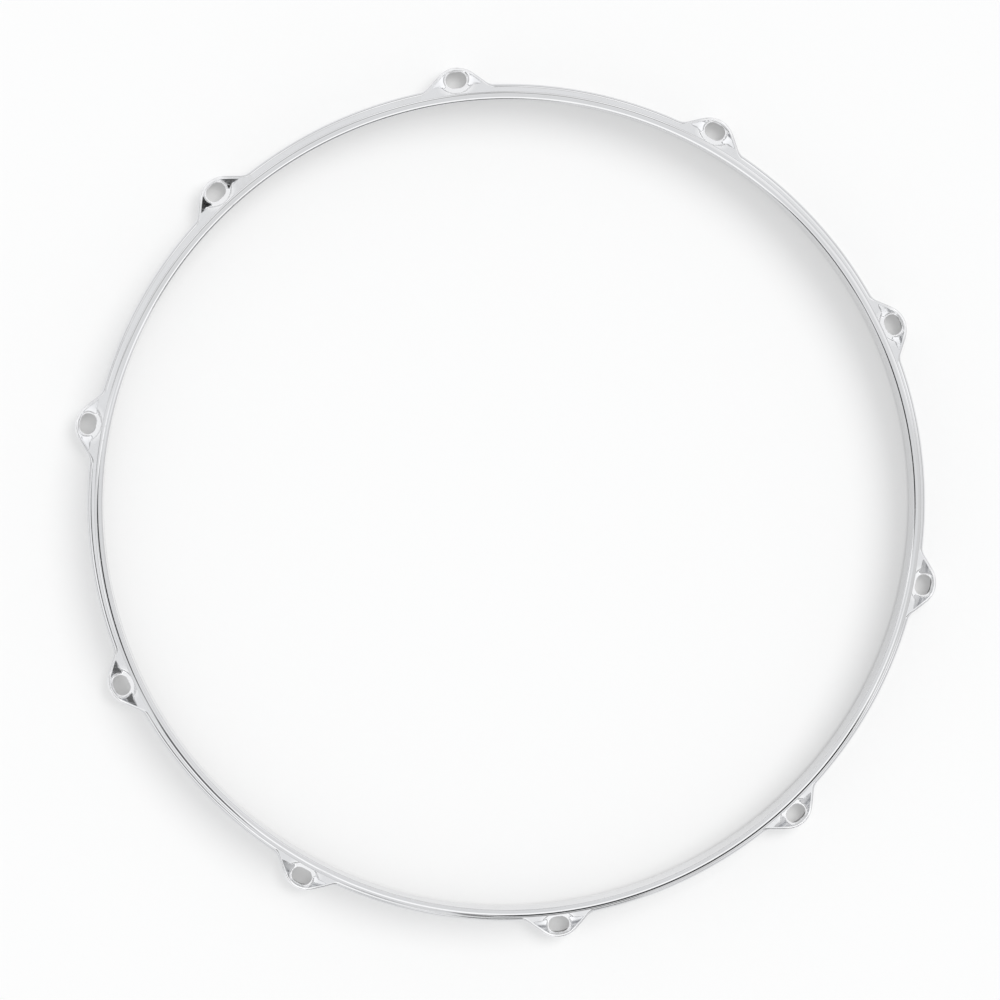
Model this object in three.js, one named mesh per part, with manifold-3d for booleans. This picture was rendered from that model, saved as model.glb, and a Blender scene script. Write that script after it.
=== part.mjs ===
// A chromed steel drum hoop for a 14 inch drum, with ten ears for the tension rods.
// Millimetres, +Z up. The origin is the middle of the circle that the skirt stands on,
// and the first ear points along +X.
//
// The strip is pressed into three bends. From the top down it makes a rim that rolls
// outwards, an upright wall, a flat shoulder and a skirt that hangs over the drum head.
// The skirt swells into an ear at each tension rod, and each ear has a sunk seat with an
// oval hole. The ring is split where the bends and ears begin, one mesh for each part.

import * as THREE from "three";
import { mergeVertices } from "three/addons/utils/BufferGeometryUtils.js";
import Module from "manifold-3d";

const wasm = await Module();
wasm.setup();

// The strip and the ring
const sheet = 1.6; // thickness of the steel
const hoopHeight = 25; // from the edge of the skirt to the top of the rim
const wallInsideRadius = 182.8;
const skirtReach = 7.7; // from the inside of the wall to the outside of the skirt
const shoulderHeight = 9.8; // top of the shoulder, above the edge of the skirt
const bendRadius = 0.5; // inner radius of the two bends at the shoulder
const seam = 0.3; // gap between neighbouring parts of the ring

// The rolled rim
const rimReach = 3.9; // from the inside of the wall to the tip of the rim
const rimBendRadius = 0.6; // inner radius of the roll
const rimDroop = THREE.MathUtils.degToRad(15); // how far the roll goes on past level
const bendLeg = 1; // straight piece of wall that stays with each bend

// The ears
const earCount = 10;
const holeReach = 3; // from the outside of the skirt to the middle of the rod holes
const noseReach = 5.7; // from the middle of the hole to the outside of the ear
const noseRadius = 11.4;
const flankAngle = THREE.MathUtils.degToRad(42); // half of the angle that the nose arc turns
const rootFillet = 7;

// The sunk seat and its oval hole
const lipWidth = 1.3; // between the seat's upper edge and the outside of the ear
const seatDepth = 2.3;
const seatWallReach = 6.1; // from the middle of the hole to the seat's edge at the wall
const seatArcRadius = 9.3; // of the edge towards the wall
const wingShift = 2.8; // from the middle of the hole in to the wings' straight inner edge
const seatFloorRadius = 5.6;
const seatDraft = 0.35; // least run of the seat's side
const holeLength = 9.4; // along the ring
const holeWidth = 7.2; // across the ring

// How finely the round stretches are divided
const ringSteps = 90;
const spanSteps = 6;
const noseSteps = 6;
const filletSteps = 2;
const bendSteps = 3;
const rollSteps = 5;
const droopSteps = 1;
const edgeSteps = 2;
const lipSteps = 22;
const seatSteps = 10;
const holeSteps = 5;

const cutOverrun = 2; // how far every cut runs past what it cuts

// Levels and radii that follow
const skirtOutsideRadius = wallInsideRadius + skirtReach;
const holeCircleRadius = skirtOutsideRadius + holeReach;
const outerBend = bendRadius + sheet;
const rollRadius = rimBendRadius + sheet;
const shoulderUnderside = shoulderHeight - sheet;
const seatLevel = shoulderHeight - seatDepth;
const flangeTop = shoulderUnderside + outerBend + bendLeg;
const rimFoot = hoopHeight - rollRadius - bendLeg;
const noseShift = noseReach - noseRadius;
const noseCentre = holeCircleRadius + noseShift;
const filletCentre = skirtOutsideRadius + rootFillet;
const flankDistance = noseCentre * Math.cos(flankAngle) + noseRadius;
const rootAngle = flankAngle - Math.acos((flankDistance + rootFillet) / filletCentre);
const earPitch = (2 * Math.PI) / earCount;
const seatArcShift = seatArcRadius - seatWallReach;

// Directions, seen from the middle of the hole, of the ends of the wings' straight edge:
// the pointed tip at the lip and the heel where the arc towards the wall begins
const tipFromFlank = (noseShift + wingShift) * Math.cos(flankAngle) + noseRadius - lipWidth;
const wingTip = Math.atan2(tipFromFlank / Math.sin(flankAngle), -wingShift);
const wingHeel = Math.atan2(
  Math.sqrt(seatArcRadius ** 2 - (wingShift + seatArcShift) ** 2),
  -wingShift,
);

const chrome = () =>
  new THREE.MeshStandardMaterial({ color: 0xd9dce0, roughness: 0.08, metalness: 1 });

// Points of an arc in the plane of a section, from one angle to another.
function arc(x, y, radius, from, to, steps) {
  const points = [];
  for (let i = 0; i <= steps; i++) {
    const angle = from + ((to - from) * i) / steps;
    points.push([x + radius * Math.cos(angle), y + radius * Math.sin(angle)]);
  }
  return points;
}

// Angle, seen from the middle of the ring, of a point given along and across the first ear.
const angleOf = (along, across) => Math.atan2(across, along);

// Distance from the middle of the ring to the outline of the skirt and ears, drawn in by
// inset, along a ray at the given angle from the middle of the nearest ear.
function outlineRadius(angle, inset) {
  const turn = Math.abs(angle);
  const nose = noseRadius - inset;
  const fillet = rootFillet + inset;
  const noseEnd = angleOf(
    noseCentre + nose * Math.cos(flankAngle),
    nose * Math.sin(flankAngle),
  );
  if (turn < noseEnd) {
    return noseCentre * Math.cos(turn) + Math.sqrt(nose ** 2 - (noseCentre * Math.sin(turn)) ** 2);
  }
  const filletStart = angleOf(
    filletCentre * Math.cos(rootAngle) - fillet * Math.cos(flankAngle),
    filletCentre * Math.sin(rootAngle) - fillet * Math.sin(flankAngle),
  );
  if (turn < filletStart) {
    return (flankDistance - inset) / Math.cos(turn - flankAngle);
  }
  if (turn < rootAngle) {
    const off = filletCentre * Math.sin(turn - rootAngle);
    return filletCentre * Math.cos(turn - rootAngle) - Math.sqrt(fillet ** 2 - off ** 2);
  }
  return skirtOutsideRadius - inset;
}

// Closed section of the flange at an angle: wall leg, shoulder and skirt.
function flangeSection(angle) {
  const wallBend = [wallInsideRadius + outerBend, shoulderUnderside + outerBend];
  const skirtBend = [outerBend, shoulderHeight - outerBend];
  const fromOutline = ([inset, z]) => [outlineRadius(angle, inset), z];
  const half = Math.PI;
  const quarter = Math.PI / 2;
  return [
    [wallInsideRadius, flangeTop],
    ...arc(...wallBend, outerBend, half, half + quarter, bendSteps),
    ...arc(...skirtBend, bendRadius, quarter, half, edgeSteps).map(fromOutline),
    fromOutline([sheet, 0]),
    fromOutline([0, 0]),
    ...arc(...skirtBend, outerBend, half, quarter, bendSteps).map(fromOutline),
    ...arc(...wallBend, bendRadius, half + quarter, half, edgeSteps),
    [wallInsideRadius + sheet, flangeTop],
  ];
}

// Closed section of the rolled rim.
function rimSection() {
  const centre = [wallInsideRadius + rollRadius, hoopHeight - rollRadius];
  const middle = rimBendRadius + sheet / 2;
  const rollEnd = Math.PI / 2 - rimDroop;
  const tipRadius = wallInsideRadius + rimReach - sheet / 2;
  const flat = (tipRadius - centre[0] - middle * Math.sin(rimDroop)) / Math.cos(rimDroop);
  const tip = [tipRadius, centre[1] + middle * Math.cos(rimDroop) - flat * Math.sin(rimDroop)];
  return [
    [wallInsideRadius, rimFoot],
    ...arc(...centre, rollRadius, Math.PI, Math.PI / 2, rollSteps),
    ...arc(...centre, rollRadius, Math.PI / 2, rollEnd, droopSteps).slice(1),
    ...arc(...tip, sheet / 2, rollEnd, rollEnd - Math.PI, edgeSteps),
    ...arc(...centre, rimBendRadius, rollEnd, Math.PI, edgeSteps),
    [wallInsideRadius + sheet, rimFoot],
  ];
}

function wallSection() {
  const foot = flangeTop + seam;
  const top = rimFoot - seam;
  return [
    [wallInsideRadius, foot],
    [wallInsideRadius, top],
    [wallInsideRadius + sheet, top],
    [wallInsideRadius + sheet, foot],
  ];
}

// A closed section turned all the way round the Z axis.
function turned(section) {
  const profile = [...section, section[0]].map(([r, z]) => new THREE.Vector2(r, z));
  return solid(new THREE.LatheGeometry(profile, ringSteps).rotateX(Math.PI / 2));
}

// A solid through closed rings of points, all of the same count, with flat ends.
function lofted(rings) {
  const count = rings[0].length;
  const positions = rings.flat(2);
  const faces = [];
  rings.slice(1).forEach((_, j) => {
    for (let i = 0; i < count; i++) {
      const a = j * count + i;
      const b = j * count + ((i + 1) % count);
      faces.push(a, b, b + count, a, b + count, a + count);
    }
  });
  const last = count * (rings.length - 1);
  for (const [a, b, c] of cap(rings[0])) {
    faces.push(c, b, a, last + a, last + b, last + c);
  }
  const geometry = new THREE.BufferGeometry();
  geometry.setAttribute("position", new THREE.Float32BufferAttribute(positions, 3));
  geometry.setIndex(faces);
  return solid(geometry);
}

// Triangles that close a ring of points, worked out in the plane in which the ring lies.
function cap(ring) {
  const points = ring.map((p) => new THREE.Vector3(...p));
  const normal = new THREE.Vector3();
  points.forEach((p, i) => normal.add(p.clone().cross(points[(i + 1) % points.length])));
  const flat = new THREE.Quaternion().setFromUnitVectors(
    normal.normalize(),
    new THREE.Vector3(0, 0, 1),
  );
  const contour = points.map((p) => {
    const q = p.applyQuaternion(flat);
    return new THREE.Vector2(q.x, q.y);
  });
  return THREE.ShapeUtils.triangulateShape(contour, []);
}

// A closed geometry as a solid that can be joined and cut, with its faces pointing out.
function solid(geometry) {
  const bare = geometry.clone();
  bare.deleteAttribute("normal");
  bare.deleteAttribute("uv");
  const merged = mergeVertices(bare);
  const vertProperties = new Float32Array(merged.attributes.position.array);
  const triVerts = new Uint32Array(merged.index.array);
  const made = new wasm.Manifold(new wasm.Mesh({ numProp: 3, vertProperties, triVerts }));
  if (made.volume() > 0) return made;
  return new wasm.Manifold(
    new wasm.Mesh({ numProp: 3, vertProperties, triVerts: triVerts.reverse() }),
  );
}

function meshOf(name, made) {
  const { vertProperties, triVerts } = made.getMesh();
  const geometry = new THREE.BufferGeometry();
  geometry.setAttribute("position", new THREE.BufferAttribute(vertProperties, 3));
  geometry.setIndex(new THREE.BufferAttribute(triVerts, 1));
  geometry.computeVertexNormals();
  const mesh = new THREE.Mesh(geometry, chrome());
  mesh.name = name;
  return mesh;
}

// The flange lofted through sections at the given angles. The two end sections are moved
// along the ring by half a seam, so that neighbours keep parallel faces.
function flangeBetween(angles) {
  const last = angles.length - 1;
  return lofted(
    angles.map((angle, i) => {
      const shift = (seam / 2) * (Number(i === 0) - Number(i === last));
      return flangeSection(angle).map(([r, z]) => [
        r * Math.cos(angle) - shift * Math.sin(angle),
        r * Math.sin(angle) + shift * Math.cos(angle),
        z,
      ]);
    }),
  );
}

function stepsBetween(from, to, steps) {
  return Array.from({ length: steps + 1 }, (_, i) => from + ((to - from) * i) / steps);
}

// Angles at which the ear's sections lie: evenly along the nose arc and the root fillets.
function earAngles() {
  const nose = stepsBetween(0, flankAngle, noseSteps / 2).map((turn) =>
    angleOf(noseCentre + noseRadius * Math.cos(turn), noseRadius * Math.sin(turn)),
  );
  const root = stepsBetween(flankAngle, rootAngle, filletSteps).map((turn) =>
    angleOf(
      filletCentre * Math.cos(rootAngle) - rootFillet * Math.cos(turn),
      filletCentre * Math.sin(rootAngle) - rootFillet * Math.sin(turn),
    ),
  );
  const side = [...nose, ...root];
  return [...side.slice(1).reverse().map((angle) => -angle), ...side];
}

// The seat's edge is worked out by direction from the middle of the hole, where direction
// zero points straight out and arcs have their middles on that line.
function reachOf(direction, centre, radius) {
  const off = centre * Math.sin(direction);
  return centre * Math.cos(direction) + Math.sqrt(radius ** 2 - off ** 2);
}

// Distance to the inside of the raised lip: the nose arc, then the straight flank.
function lipEdge(direction) {
  const turn = Math.abs(direction);
  const radius = noseRadius - lipWidth;
  const flankStart = Math.atan2(
    radius * Math.sin(flankAngle),
    noseShift + radius * Math.cos(flankAngle),
  );
  if (turn < flankStart) return reachOf(turn, noseShift, radius);
  return (noseShift * Math.cos(flankAngle) + radius) / Math.cos(turn - flankAngle);
}

// Distance to the upper edge of the seat. Outwards the lip bounds it. Inwards a straight
// edge bounds its two wings, and between them an arc reaches in to the wall.
function seatEdge(direction) {
  if (Math.abs(direction) <= wingTip) return lipEdge(direction);
  const arcEdge = reachOf(direction, seatArcShift, seatArcRadius);
  return Math.max(arcEdge, -wingShift / Math.cos(direction));
}

// Directions that the seat's rings use, with the wings' pointed ends and their heels.
function seatDirections() {
  return [
    ...stepsBetween(-wingTip, wingTip, lipSteps),
    ...stepsBetween(wingHeel, 2 * Math.PI - wingHeel, seatSteps),
  ];
}

// One ring of points round the hole at a level, at a distance that depends on direction.
function seatRing(distance, z) {
  return seatDirections().map((direction) => [
    holeCircleRadius + distance(direction) * Math.cos(direction),
    distance(direction) * Math.sin(direction),
    z,
  ]);
}

const seatFloor = (direction) => Math.min(seatFloorRadius, seatEdge(direction) - seatDraft);

// What is pressed away above the seat.
function seatCut() {
  return lofted([
    seatRing(seatFloor, seatLevel),
    seatRing(seatEdge, shoulderHeight),
    seatRing(seatEdge, shoulderHeight + cutOverrun),
  ]);
}

// The steel below the seat, kept inside the ear's skirt.
function seatDish() {
  const wider = (edge) => (direction) => edge(direction) + sheet / 2;
  const dish = lofted([
    seatRing(wider(seatFloor), seatLevel - sheet),
    seatRing(wider(seatEdge), shoulderUnderside),
    seatRing(wider(seatEdge), shoulderHeight - outerBend / 2),
  ]);
  const inner = wallInsideRadius + outerBend;
  const core = lofted(
    earAngles().map((angle) => {
      const outer = outlineRadius(angle, sheet / 2);
      return [
        [inner, 0],
        [outer, 0],
        [outer, shoulderHeight - outerBend / 2],
        [inner, shoulderHeight - outerBend / 2],
      ].map(([r, z]) => [r * Math.cos(angle), r * Math.sin(angle), z]);
    }),
  );
  return dish.intersect(core);
}

// The oval hole: two half circles joined by straight sides.
function holeCut() {
  const radius = holeWidth / 2;
  const side = (holeLength - holeWidth) / 2;
  const oval = new THREE.Shape();
  oval.absarc(holeCircleRadius, side, radius, 0, Math.PI, false);
  oval.absarc(holeCircleRadius, -side, radius, Math.PI, 2 * Math.PI, false);
  const depth = seatDepth + sheet + 2 * cutOverrun;
  const cut = new THREE.ExtrudeGeometry(oval, {
    depth,
    bevelEnabled: false,
    curveSegments: holeSteps,
  });
  return solid(cut.translate(0, 0, shoulderHeight + cutOverrun - depth));
}

const hoop = new THREE.Group();
hoop.add(meshOf("top_rim", turned(rimSection())));
hoop.add(meshOf("hoop_wall", turned(wallSection())));

const ear = flangeBetween(earAngles()).add(seatDish()).subtract(seatCut()).subtract(holeCut());
const span = flangeBetween(stepsBetween(rootAngle, earPitch - rootAngle, spanSteps));

for (let k = 0; k < earCount; k++) {
  const number = String(k + 1).padStart(2, "0");
  const station = new THREE.Group();
  station.rotation.z = k * earPitch;
  station.add(meshOf("ear_" + number, ear));
  station.add(meshOf("flange_span_" + number, span));
  hoop.add(station);
}

export default hoop;
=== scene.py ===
# %% [markdown]
# # A chromed drum hoop
#
# This script dresses the ring of a 14 inch drum hoop. The solids are there already: they
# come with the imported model, in metres, with +Z up and the first ear along +X. They are
# split where the bends begin and are a little faceted. On the real hoop the strip runs
# through without a gap, its bends are smooth, and mirror chrome shows each small change
# of curvature. So every solid gets a finer skin of the same shape, and then the chrome,
# the table, the light and the camera.

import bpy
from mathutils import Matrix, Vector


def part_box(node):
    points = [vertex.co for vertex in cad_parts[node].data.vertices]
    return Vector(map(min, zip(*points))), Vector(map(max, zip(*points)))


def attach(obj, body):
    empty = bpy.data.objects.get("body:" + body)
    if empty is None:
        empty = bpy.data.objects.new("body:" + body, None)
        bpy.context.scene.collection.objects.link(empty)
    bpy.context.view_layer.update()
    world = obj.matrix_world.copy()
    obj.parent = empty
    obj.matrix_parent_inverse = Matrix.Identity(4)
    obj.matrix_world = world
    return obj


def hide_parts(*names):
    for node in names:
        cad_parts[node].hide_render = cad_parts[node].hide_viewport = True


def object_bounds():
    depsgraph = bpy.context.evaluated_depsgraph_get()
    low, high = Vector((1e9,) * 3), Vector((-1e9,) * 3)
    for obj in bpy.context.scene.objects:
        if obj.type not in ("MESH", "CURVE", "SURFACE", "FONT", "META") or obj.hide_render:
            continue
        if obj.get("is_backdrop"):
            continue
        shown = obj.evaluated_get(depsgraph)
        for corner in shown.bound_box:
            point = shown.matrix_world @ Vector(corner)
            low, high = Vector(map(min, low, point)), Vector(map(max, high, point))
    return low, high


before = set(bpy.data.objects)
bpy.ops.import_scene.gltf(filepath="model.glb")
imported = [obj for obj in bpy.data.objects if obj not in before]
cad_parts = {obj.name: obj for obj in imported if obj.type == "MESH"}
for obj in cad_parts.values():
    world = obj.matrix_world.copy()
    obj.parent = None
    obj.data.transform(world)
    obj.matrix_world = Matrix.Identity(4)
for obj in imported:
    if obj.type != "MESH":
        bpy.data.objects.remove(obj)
cad_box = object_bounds()
print("solids:", len(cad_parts), "box in mm:", [round(1000 * v, 1) for c in cad_box for v in c])

# %% Tools of this script
import math

import bmesh
import bpy
import numpy as np
from mathutils import Vector

MM = 0.001

# %% [markdown]
# ## Sizes
#
# The outer sizes are read from the solids, so that the skins cannot grow past them. The
# sizes inside a bend, such as its radius, cannot be read from a box, so they are named
# here, with the values that the solids were made from.

# %% Sizes of the strip
rim_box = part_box("top_rim")
wall_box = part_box("hoop_wall")
ear_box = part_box("ear_01")

SHEET = 1.6 * MM
WALL_INSIDE = wall_box[1].y - SHEET
WALL_OUTSIDE = wall_box[1].y
HOOP_TOP = rim_box[1].z
RIM_REACH = rim_box[1].y - WALL_INSIDE
SKIRT_REACH = 7.7 * MM
SKIRT_OUTSIDE = WALL_INSIDE + SKIRT_REACH
SHOULDER = 9.8 * MM
SHOULDER_UNDER = SHOULDER - SHEET
FLANGE_TOP = (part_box("flange_span_01")[1].z + wall_box[0].z) / 2
RIM_FOOT = (wall_box[1].z + rim_box[0].z) / 2
print("wall inside", WALL_INSIDE, "skirt outside", SKIRT_OUTSIDE, "joins at", FLANGE_TOP, RIM_FOOT)

# %% Sizes of the ears
EAR_COUNT = 10
EAR_PITCH = 2 * math.pi / EAR_COUNT
HOLE_REACH = 3 * MM
NOSE_REACH = ear_box[1].x - SKIRT_OUTSIDE - HOLE_REACH
NOSE_RADIUS = 11.4 * MM
FLANK_ANGLE = math.radians(42)
ROOT_FILLET = 7 * MM
HOLE_CIRCLE = SKIRT_OUTSIDE + HOLE_REACH
NOSE_SHIFT = NOSE_REACH - NOSE_RADIUS
NOSE_CENTRE = HOLE_CIRCLE + NOSE_SHIFT
FILLET_CENTRE = SKIRT_OUTSIDE + ROOT_FILLET
FLANK_DISTANCE = NOSE_CENTRE * math.cos(FLANK_ANGLE) + NOSE_RADIUS
ROOT_ANGLE = FLANK_ANGLE - math.acos((FLANK_DISTANCE + ROOT_FILLET) / FILLET_CENTRE)
print("an ear takes", round(2 * math.degrees(ROOT_ANGLE), 2), "degrees of the ring")

# %% [markdown]
# ## Sections
#
# A pressed strip is the same section all the way along, so each skin starts as a list of
# points in the plane of the section: distance from the ring's axis and height. Bends are
# arcs. A straight stretch gets an extra point close to each of its ends. Smooth shading
# blends the directions of the faces that meet at a point, and without those points a bend
# would tint the whole flat beside it.

# %% Arcs and straights of a section
GUARD = 0.06 * MM  # how close to a bend a straight gets its extra point


def arc(centre, radius, start, end, steps):
    """Points of an arc, from one angle to another in degrees."""
    turns = np.radians(np.linspace(start, end, steps + 1))
    return [(centre[0] + radius * math.cos(t), centre[1] + radius * math.sin(t)) for t in turns]


def straight(a, b, steps=1):
    """Points between two ends, without the ends, with a guard point near each of them."""
    length = math.dist(a, b)
    near = min(GUARD, length / 4) / length
    shares = [near, *np.linspace(0, 1, steps + 1)[1:-1], 1 - near]
    return [(a[0] + s * (b[0] - a[0]), a[1] + s * (b[1] - a[1])) for s in shares]


def joined(*stretches, steps=1):
    """Stretches of points, with a straight from the end of each to the start of the next."""
    points = list(stretches[0])
    for stretch in stretches[1:]:
        points += [*straight(points[-1], stretch[0], steps), *stretch]
    return points


# %% [markdown]
# The rim rolls outwards. Its crest is one easy curve, which droops towards the free edge and
# runs inwards into a tight corner above the wall. The free edge was rounded by polishing, so
# a half circle closes the section there. The wall joins it below.

# %% Section of the rolled rim
RIM_BEND = 0.6 * MM  # radius under the roll
UNDER_START = 45  # where that bend begins, in degrees
RIM_CROWN = 4.3 * MM  # radius of the crest
CREST_REACH = 1.64 * MM  # from the wall's inside face out to the highest line
CORNER_TILT = 17  # where the corner takes over from the crest, in degrees from level


def rim_section():
    crest = (WALL_INSIDE + CREST_REACH, HOOP_TOP - RIM_CROWN)
    tip_reach = RIM_REACH - SHEET / 2 - CREST_REACH
    droop = math.asin(tip_reach / (RIM_CROWN - SHEET / 2))
    tip = (crest[0] + tip_reach, crest[1] + tip_reach / math.tan(droop))
    tilt = math.radians(CORNER_TILT)
    corner = (CREST_REACH - RIM_CROWN * math.sin(tilt)) / (1 - math.sin(tilt))
    corner_middle = (WALL_INSIDE + corner, crest[1] + (RIM_CROWN - corner) * math.cos(tilt))
    inner_corner = arc(corner_middle, corner, 180, 90 + CORNER_TILT, steps=12)
    edge_turn = 90 - math.degrees(droop)
    crown = arc(crest, RIM_CROWN, 90 + CORNER_TILT, edge_turn, steps=18)
    edge = arc(tip, SHEET / 2, edge_turn, edge_turn - 180, steps=14)
    roll = RIM_BEND + SHEET
    under = arc((WALL_INSIDE + roll, HOOP_TOP - roll), RIM_BEND, UNDER_START, 180, steps=10)
    inner_foot, outer_foot = (WALL_INSIDE, RIM_FOOT), (WALL_OUTSIDE, RIM_FOOT)
    points = joined([inner_foot], [*inner_corner, *crown[1:-1], *edge], under, [outer_foot])
    return points + straight(outer_foot, inner_foot)


def wall_section():
    corners = [
        (WALL_INSIDE, FLANGE_TOP), (WALL_INSIDE, RIM_FOOT),
        (WALL_OUTSIDE, RIM_FOOT), (WALL_OUTSIDE, FLANGE_TOP),
    ]
    points = joined(*[[corner] for corner in corners], steps=3)
    return points + straight(corners[-1], corners[0], steps=3)


print("rim section:", len(rim_section()), "points; wall section:", len(wall_section()))

# %% [markdown]
# The flange is the wall's foot, the flat shoulder and the skirt that hangs over the drum
# head. Between the ears it is the same all along. At an ear the skirt swings out, so the
# section's skirt end is measured inwards from an outline that depends on the angle.

# %% Outline of the skirt and ears


def reach_of(direction, centre, radius):
    """Distance, in a direction, to a circle whose middle lies straight ahead."""
    off = centre * math.sin(direction)
    return centre * math.cos(direction) + math.sqrt(radius**2 - off**2)


def flank_start(centre, radius):
    """Direction in which such a circle, the nose of an ear, runs into the straight flank."""
    return math.atan2(radius * math.sin(FLANK_ANGLE), centre + radius * math.cos(FLANK_ANGLE))


def outline(angle, inset=0.0):
    """Distance from the ring's axis to the outline drawn in by inset, at an angle from an ear."""
    turn = abs(angle)
    nose = NOSE_RADIUS - inset
    fillet = ROOT_FILLET + inset
    if turn < flank_start(NOSE_CENTRE, nose):
        return reach_of(turn, NOSE_CENTRE, nose)
    fillet_start = math.atan2(
        FILLET_CENTRE * math.sin(ROOT_ANGLE) - fillet * math.sin(FLANK_ANGLE),
        FILLET_CENTRE * math.cos(ROOT_ANGLE) - fillet * math.cos(FLANK_ANGLE),
    )
    if turn < fillet_start:
        return (FLANK_DISTANCE - inset) / math.cos(turn - FLANK_ANGLE)
    if turn < ROOT_ANGLE:
        off = FILLET_CENTRE * math.sin(turn - ROOT_ANGLE)
        return FILLET_CENTRE * math.cos(turn - ROOT_ANGLE) - math.sqrt(fillet**2 - off**2)
    return SKIRT_OUTSIDE - inset


# %% Bends of the flange, which tighten round an ear's lip
SKIRT_BEND = 2.1 * MM  # outer radius of the bend from shoulder to skirt
SKIRT_INNER_BEND = 0.5 * MM
LIP_BEND = 0.95 * MM  # the same two at the nose of an ear
LIP_INNER_BEND = 0.2 * MM
WALL_BEND = 0.5 * MM  # inner radius of the bend from wall to shoulder
EDGE_ROUND = 0.35 * MM  # rounded corners of the skirt's free edge
LIP_END = math.radians(3.5)  # the lip's tight bends are full up to here


def smooth_step(share):
    s = min(max(share, 0.0), 1.0)
    return s * s * (3 - 2 * s)


def bends_at(angle):
    """Outer and inner radius of the skirt's bend at an angle from an ear."""
    blend = smooth_step((abs(angle) - LIP_END) / (ROOT_ANGLE - LIP_END))
    outer = LIP_BEND + blend * (SKIRT_BEND - LIP_BEND)
    inner = LIP_INNER_BEND + blend * (SKIRT_INNER_BEND - LIP_INNER_BEND)
    return outer, inner


# %% Stretches of the flange's section
FLAT_STEPS = 6  # across the flat of the shoulder
OPEN_POINTS = 5  # so many at the end of wall_under() lie on the open wall, past the hollow


def wall_foot():
    """Outer side: from the wall down through the bend to the shoulder."""
    bend = arc((WALL_OUTSIDE + WALL_BEND, SHOULDER + WALL_BEND), WALL_BEND, 180, 270, steps=8)
    return joined([(WALL_OUTSIDE, FLANGE_TOP)], bend)


def from_outline(angle, points):
    """Points whose first number is measured outwards from the outline, which is mostly minus."""
    return [(outline(angle, -out), z) for out, z in points]


def skirt_outside(angle):
    """Outer side: from the shoulder round the bend and down the skirt to its edge."""
    outer, _ = bends_at(angle)
    bend = arc((-outer, SHOULDER - outer), outer, 90, 0, steps=12)
    corner = arc((-EDGE_ROUND, EDGE_ROUND), EDGE_ROUND, 0, -90, steps=4)
    return from_outline(angle, joined(bend, corner, steps=2))


def skirt_inside(angle, under=SHOULDER_UNDER):
    """Inner side: from the skirt's edge up to the bend under the shoulder."""
    _, inner = bends_at(angle)
    corner = arc((EDGE_ROUND - SHEET, EDGE_ROUND), EDGE_ROUND, 270, 180, steps=4)
    bend = arc((-SHEET - inner, under - inner), inner, 0, 90, steps=5)
    return from_outline(angle, joined(corner, bend, steps=2))


def wall_under():
    """Inner side: from the underside of the shoulder through the bend to the wall."""
    radius = WALL_BEND + SHEET
    bend = arc((WALL_INSIDE + radius, SHOULDER_UNDER + radius), radius, 270, 180, steps=12)
    return joined(bend, [(WALL_INSIDE, FLANGE_TOP)])


def flange_section(angle):
    """The whole closed section, and for each point whether it lies in the hoop's hollow."""
    above = joined(wall_foot(), skirt_outside(angle), steps=FLAT_STEPS)
    below = joined(skirt_inside(angle), wall_under(), steps=FLAT_STEPS)
    bottom = straight(above[-1], below[0])
    points = [*above, *bottom, *below, *straight(below[-1], above[0])]
    start = len(above) + len(bottom)
    end = start + len(below) - OPEN_POINTS
    return points, [float(start <= i < end) for i in range(len(points))]


print("flange section:", len(flange_section(EAR_PITCH / 2)[0]), "points")

# %% [markdown]
# ## Sweeping a section round the ring
#
# A Geometry Nodes tree takes a section and carries it along an arc or a full circle. It
# could be done with the Spin tool, but a tree keeps its sizes as named inputs, and one
# tree makes the rim, the wall and all ten stretches of flange. Next to an end of an arc
# it adds one close station, for the same reason as the guard points of a section: then
# the skin's shading runs on into the neighbouring piece without a line.

# %% Helpers to build node trees
SOCKET = "NodeSocket"  # how Blender's name for each kind of socket begins


def add(tree, node_type, settings=None, **inputs):
    """Adds a node. Inputs are values or sockets, keyed by socket name or by i0, i1 and so on."""
    node = tree.nodes.new(node_type)
    for key, value in (settings or {}).items():
        setattr(node, key, value)
    for key, value in inputs.items():
        number = key[1:]
        if key[0] == "i" and number.isdigit():
            socket = node.inputs[int(number)]
        else:
            socket = node.inputs[key.replace("_", " ")]
        if isinstance(value, bpy.types.NodeSocket):
            tree.links.new(value, socket)
        else:
            socket.default_value = value
    return node


def made(tree, node_type, settings=None, **inputs):
    """Adds a node, and gives what comes out of its first socket."""
    return add(tree, node_type, settings, **inputs).outputs[0]


def new_tree(name, kind, inputs, outputs):
    """A Geometry or Shader tree with named sockets, and what its Group Input gives.

    An input is its name, its kind and mostly a value. An output is its name and its kind.
    """
    tree = bpy.data.node_groups.new(name, kind + "NodeTree")
    for label, socket_kind, *value in inputs:
        socket = tree.interface.new_socket(label, in_out="INPUT", socket_type=SOCKET + socket_kind)
        if value:
            socket.default_value = value[0]
    for label, socket_kind in outputs:
        tree.interface.new_socket(label, in_out="OUTPUT", socket_type=SOCKET + socket_kind)
    return tree, add(tree, "NodeGroupInput").outputs


def numbered(values):
    """Values keyed as the first, second and further inputs of a node."""
    return {f"i{i}": value for i, value in enumerate(values)}


def maths(tree, operation, *values):
    """What a Math node gives."""
    return made(tree, "ShaderNodeMath", {"operation": operation}, **numbered(values))


def vector_maths(tree, operation, *values, output="Vector"):
    """What a Vector Math node gives."""
    settings = {"operation": operation}
    return add(tree, "ShaderNodeVectorMath", settings, **numbered(values)).outputs[output]


def eased(tree, value, start, end):
    """A soft step of a value between two limits, up or down."""
    settings = {"interpolation_type": "SMOOTHSTEP"}
    return made(tree, "ShaderNodeMapRange", settings, Value=value, i1=start, i2=end)


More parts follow.
